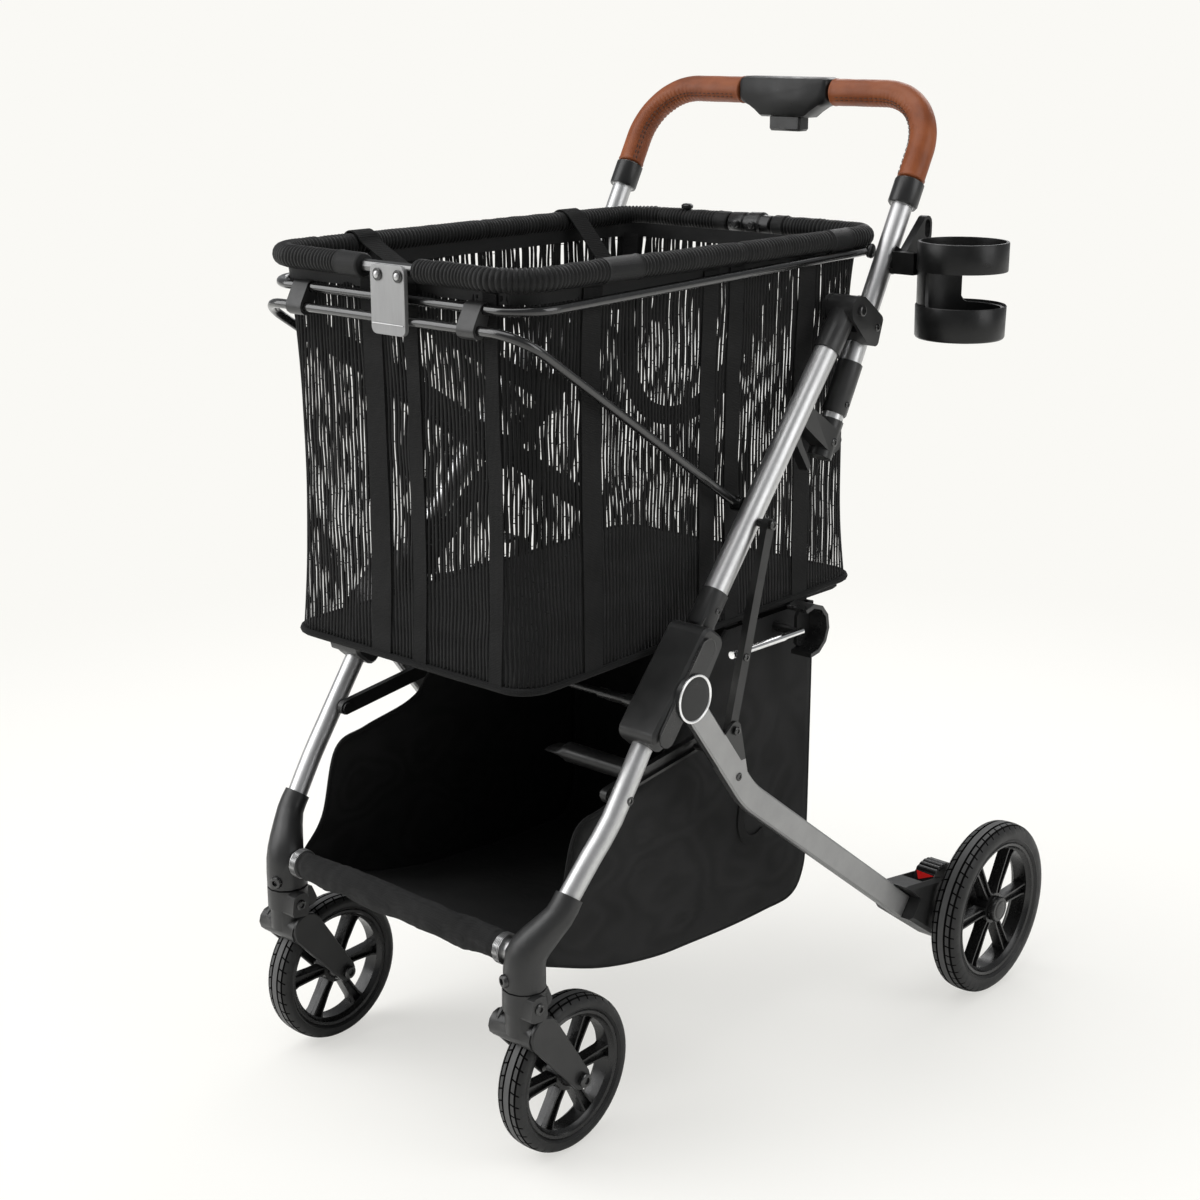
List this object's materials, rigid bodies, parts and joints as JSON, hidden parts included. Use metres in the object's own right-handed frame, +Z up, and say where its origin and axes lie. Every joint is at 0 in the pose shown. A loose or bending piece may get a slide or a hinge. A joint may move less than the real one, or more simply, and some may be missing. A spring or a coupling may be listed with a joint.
{
  "type": "shopping rollator",
  "caption": "Folding shopping cart on swivel front and braked rear wheels, with an open mesh basket, lower bag, cup holder and loop handle.",
  "frame": {"origin": "on the ground, in the middle of the footprint between the front and rear wheels", "axes": "+Z up, -Y towards the front swivel wheels, +X towards the side that carries the cup holder"},
  "size_m": [0.6554, 0.7678, 1.0323],
  "materials": {
    "black_moulding": "fine satin texture",
    "black_steel": "semi gloss",
    "satin_aluminium": "satin anodised",
    "chrome_steel": "bright",
    "grey_steel": "satin",
    "tan_leather": "smooth grain",
    "black_cloth": "woven",
    "black_mesh": "open ribbed mesh",
    "dark_tyre": "matt"
  },
  "bodies": {
    "frame": {"upper_tube_near": "satin_aluminium", "upper_tube_far": "satin_aluminium", "tube_collar_near": "black_moulding", "tube_collar_far": "black_moulding", "pivot_eye_near": "black_moulding", "pivot_eye_far": "black_moulding", "rear_leg_near": "satin_aluminium", "rear_leg_far": "satin_aluminium", "link_bar_near": "black_steel", "link_bar_far": "black_steel", "brake_housing_near": "black_moulding", "brake_housing_far": "black_moulding", "side_rod_near": "chrome_steel", "side_rod_far": "chrome_steel", "hoop_clip_near": "black_moulding", "hoop_clip_far": "black_moulding", "bag_yoke": "black_moulding", "hoop_upper": "black_steel", "hoop_lower": "black_steel", "basket_rim": "black_cloth", "rim_tube": "black_steel", "hook_plate": "satin_aluminium", "basket_bag": "black_mesh", "basket_board": "black_cloth", "lower_bag": "black_cloth"},
    "front_frame": {"hinge_housing_near": "black_moulding", "hinge_housing_far": "black_moulding", "hinge_cover_near": "black_moulding", "hinge_cover_far": "black_moulding", "front_leg_near": "satin_aluminium", "front_leg_far": "satin_aluminium", "elbow_near": "black_moulding", "elbow_far": "black_moulding", "crossbar": "grey_steel", "hem_sleeve": "black_cloth", "basket_cross_tube": "black_steel"},
    "handle": {"handle_tube": "satin_aluminium", "grip_near": "tan_leather", "grip_far": "tan_leather", "handle_cover": "black_moulding", "pivot_bracket_near": "black_moulding", "pivot_bracket_far": "black_moulding", "cup_holder": "black_moulding"},
    "trigger_body": {"trigger": "black_moulding"},
    "lock_near": {"lock_sleeve_near": "black_moulding"},
    "lock_far": {"lock_sleeve_far": "black_moulding"},
    "caster_near": {"caster_fork_near": "black_moulding"},
    "front_wheel_near": {"wheel_front_near": "black_moulding", "tyre_front_near": "dark_tyre"},
    "rear_wheel_near": {"wheel_rear_near": "black_moulding", "tyre_rear_near": "dark_tyre"},
    "pedal_near": {"brake_pedal_near": "black_moulding"},
    "stay_near": {"stay_near": "black_steel"},
    "caster_far": {"caster_fork_far": "black_moulding"},
    "front_wheel_far": {"wheel_front_far": "black_moulding", "tyre_front_far": "dark_tyre"},
    "rear_wheel_far": {"wheel_rear_far": "black_moulding", "tyre_rear_far": "dark_tyre"},
    "pedal_far": {"brake_pedal_far": "black_moulding"},
    "stay_far": {"stay_far": "black_steel"}
  },
  "joints": [
    {"name": "front_fold", "type": "hinge", "parent": "frame", "child": "front_frame", "pos_m": [0, -0.1838, 0.4604], "axis": [1, 0, 0], "range_deg": [0, 62], "deforming": ["lower_bag"]},
    {"name": "handle_fold", "type": "hinge", "parent": "frame", "child": "handle", "pos_m": [0, 0.112, 0.8045], "axis": [1, 0, 0], "range_deg": [0, 90]},
    {"name": "trigger_squeeze", "type": "slide", "parent": "handle", "child": "trigger_body", "axis": [0, 0, 1], "range_m": [0, 0.007], "stiffness_N_per_m": 150, "springref_m": -0.01},
    {"name": "lock_slide_near", "type": "slide", "parent": "handle", "child": "lock_near", "axis": [0, 0.477, 0.8789], "range_m": [0, 0.007]},
    {"name": "lock_slide_far", "type": "slide", "parent": "handle", "child": "lock_far", "axis": [0, 0.477, 0.8789], "range_m": [0, 0.007]},
    {"name": "caster_swivel_near", "type": "hinge", "parent": "front_frame", "child": "caster_near", "pos_m": [0.178, -0.358, 0.17], "axis": [0, 0, 1], "continuous": true},
    {"name": "front_wheel_spin_near", "type": "hinge", "parent": "caster_near", "child": "front_wheel_near", "pos_m": [0.1763, -0.302, 0.0825], "axis": [1, 0, 0], "continuous": true},
    {"name": "rear_wheel_spin_near", "type": "hinge", "parent": "frame", "child": "rear_wheel_near", "pos_m": [0.3077, 0.2834, 0.1015], "axis": [1, 0, 0], "continuous": true},
    {"name": "brake_press_near", "type": "hinge", "parent": "frame", "child": "pedal_near", "pos_m": [0.267, 0.224, 0.132], "axis": [1, 0, 0], "range_deg": [-12, 0]},
    {"name": "stay_swing_near", "type": "hinge", "parent": "front_frame", "child": "stay_near", "pos_m": [0.194, -0.2545, 0.369], "axis": [1, 0, 0], "range_deg": [-6.3, 0]},
    {"name": "caster_swivel_far", "type": "hinge", "parent": "front_frame", "child": "caster_far", "pos_m": [-0.178, -0.358, 0.17], "axis": [0, 0, 1], "continuous": true},
    {"name": "front_wheel_spin_far", "type": "hinge", "parent": "caster_far", "child": "front_wheel_far", "pos_m": [-0.1763, -0.302, 0.0825], "axis": [1, 0, 0], "continuous": true},
    {"name": "rear_wheel_spin_far", "type": "hinge", "parent": "frame", "child": "rear_wheel_far", "pos_m": [-0.3077, 0.2834, 0.1015], "axis": [1, 0, 0], "continuous": true},
    {"name": "brake_press_far", "type": "hinge", "parent": "frame", "child": "pedal_far", "pos_m": [-0.267, 0.224, 0.132], "axis": [1, 0, 0], "range_deg": [-12, 0]},
    {"name": "stay_swing_far", "type": "hinge", "parent": "front_frame", "child": "stay_far", "pos_m": [-0.194, -0.2545, 0.369], "axis": [1, 0, 0], "range_deg": [-6.3, 0]}
  ],
  "couplings": [
    {"joint": "lock_slide_near", "follows": "trigger_squeeze", "ratio": 1},
    {"joint": "lock_slide_far", "follows": "trigger_squeeze", "ratio": 1},
    {"joint": "stay_swing_near", "follows": "front_fold", "ratio": -0.1},
    {"joint": "stay_swing_far", "follows": "front_fold", "ratio": -0.1}
  ]
}
